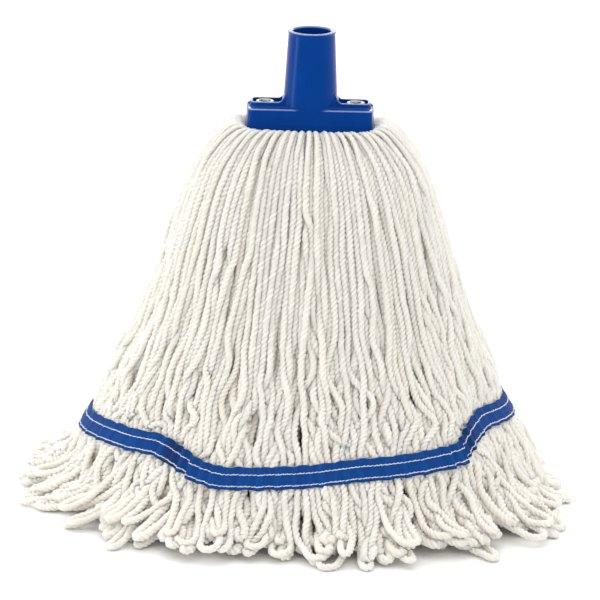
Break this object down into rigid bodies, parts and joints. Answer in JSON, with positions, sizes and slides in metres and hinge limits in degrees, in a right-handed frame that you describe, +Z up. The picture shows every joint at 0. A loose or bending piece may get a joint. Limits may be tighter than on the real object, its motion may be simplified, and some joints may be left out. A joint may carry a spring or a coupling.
{
  "type": "string mop",
  "caption": "String mop head: a skirt of looped twisted yarn with a sewn tail band, riveted into a moulded socket that takes a round handle.",
  "frame": {"origin": "centre of the yarn skirt's footprint on the floor, under the socket's axis", "axes": "+X along the header's long side, +Z up along the handle socket, the front faces -Y"},
  "size_m": [0.38, 0.344, 0.323],
  "materials": {
    "socket_plastic": "glossy moulded polypropylene",
    "rivet_steel": "plated steel, slightly dulled",
    "plate_steel": "zinc-plated strip",
    "white_tape": "plain woven tape",
    "yarn": "twisted microfibre and cotton yarn",
    "blue_tape": "ribbed woven polyester tape",
    "stitch_thread": "white sewing thread"
  },
  "bodies": {
    "root": {"socket_body": "socket_plastic", "rivet_left": "rivet_steel", "rivet_right": "rivet_steel", "clamp_plate": "plate_steel", "centre_tape": "white_tape", "yarn_crown": "yarn", "yarn_01": "yarn", "yarn_02": "yarn", "yarn_03": "yarn", "yarn_04": "yarn", "yarn_05": "yarn", "yarn_06": "yarn", "yarn_07": "yarn", "yarn_08": "yarn", "yarn_09": "yarn", "yarn_10": "yarn", "yarn_11": "yarn", "yarn_12": "yarn", "yarn_13": "yarn", "yarn_14": "yarn", "yarn_15": "yarn", "yarn_16": "yarn", "yarn_inner_1": "yarn", "yarn_inner_2": "yarn", "yarn_inner_3": "yarn", "yarn_inner_4": "yarn", "yarn_inner_5": "yarn", "yarn_inner_6": "yarn", "yarn_core": "yarn", "tail_band_outer": "blue_tape", "tail_band_inner": "blue_tape", "stitch_upper": "stitch_thread", "stitch_lower": "stitch_thread"}
  },
  "joints": []
}
